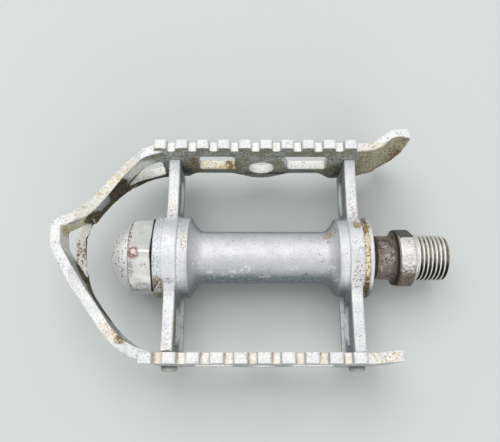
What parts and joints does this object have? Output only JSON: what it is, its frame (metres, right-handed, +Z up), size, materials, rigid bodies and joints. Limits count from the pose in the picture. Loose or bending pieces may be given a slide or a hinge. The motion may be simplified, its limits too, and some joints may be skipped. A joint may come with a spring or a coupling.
{
  "type": "bicycle pedal",
  "caption": "Quill road pedal for the left crank: cast cage with toothed rails, front loop and pick-up tab, on a threaded spindle with ball bearings and a hexagonal dust cap.",
  "frame": {"origin": "on the spindle axis at the face of the collar that seats on the crank arm", "axes": "+X along the spindle and out of its crank thread, +Y to the rear rail with the pick-up tab, +Z up out of the side with the teeth"},
  "size_m": [0.1194, 0.0726, 0.0295],
  "materials": {
    "cast_body": "satin",
    "cast_cage": "weathered",
    "rivet_metal": "weathered",
    "plated_cap": "pitted",
    "spindle_steel": "rusty",
    "bearing_steel": "ground",
    "plain_steel": "plain",
    "ball_steel": "polished",
    "rusty_seal": "rusty"
  },
  "bodies": {
    "spindle": {"spindle": "spindle_steel", "outer_cone": "bearing_steel", "lock_washer": "plain_steel", "locknut": "plain_steel"},
    "pedal": {"body": "cast_body", "cage": "cast_cage", "rivet_rear_outboard": "rivet_metal", "rivet_rear_inboard": "rivet_metal", "rivet_front_outboard": "rivet_metal", "rivet_front_inboard": "rivet_metal", "inner_cup": "bearing_steel", "outer_cup": "bearing_steel", "inner_seal": "rusty_seal", "dust_cap": "plated_cap"},
    "inner_balls": {"inner_ball_1": "ball_steel", "inner_ball_2": "ball_steel", "inner_ball_3": "ball_steel", "inner_ball_4": "ball_steel", "inner_ball_5": "ball_steel", "inner_ball_6": "ball_steel", "inner_ball_7": "ball_steel", "inner_ball_8": "ball_steel", "inner_ball_9": "ball_steel", "inner_ball_10": "ball_steel", "inner_ball_11": "ball_steel"},
    "outer_balls": {"outer_ball_1": "ball_steel", "outer_ball_2": "ball_steel", "outer_ball_3": "ball_steel", "outer_ball_4": "ball_steel", "outer_ball_5": "ball_steel", "outer_ball_6": "ball_steel", "outer_ball_7": "ball_steel", "outer_ball_8": "ball_steel", "outer_ball_9": "ball_steel", "outer_ball_10": "ball_steel", "outer_ball_11": "ball_steel"}
  },
  "joints": [
    {"name": "pedal_spin", "type": "hinge", "parent": "spindle", "child": "pedal", "pos_m": [-0.046, 0, 0], "axis": [1, 0, 0], "continuous": true},
    {"name": "inner_balls_orbit", "type": "hinge", "parent": "spindle", "child": "inner_balls", "pos_m": [-0.0176, 0, 0], "axis": [1, 0, 0], "continuous": true},
    {"name": "outer_balls_orbit", "type": "hinge", "parent": "spindle", "child": "outer_balls", "pos_m": [-0.0736, 0, 0], "axis": [1, 0, 0], "continuous": true}
  ],
  "couplings": [
    {"joint": "inner_balls_orbit", "follows": "pedal_spin", "ratio": 0.5968},
    {"joint": "outer_balls_orbit", "follows": "pedal_spin", "ratio": 0.5968}
  ]
}
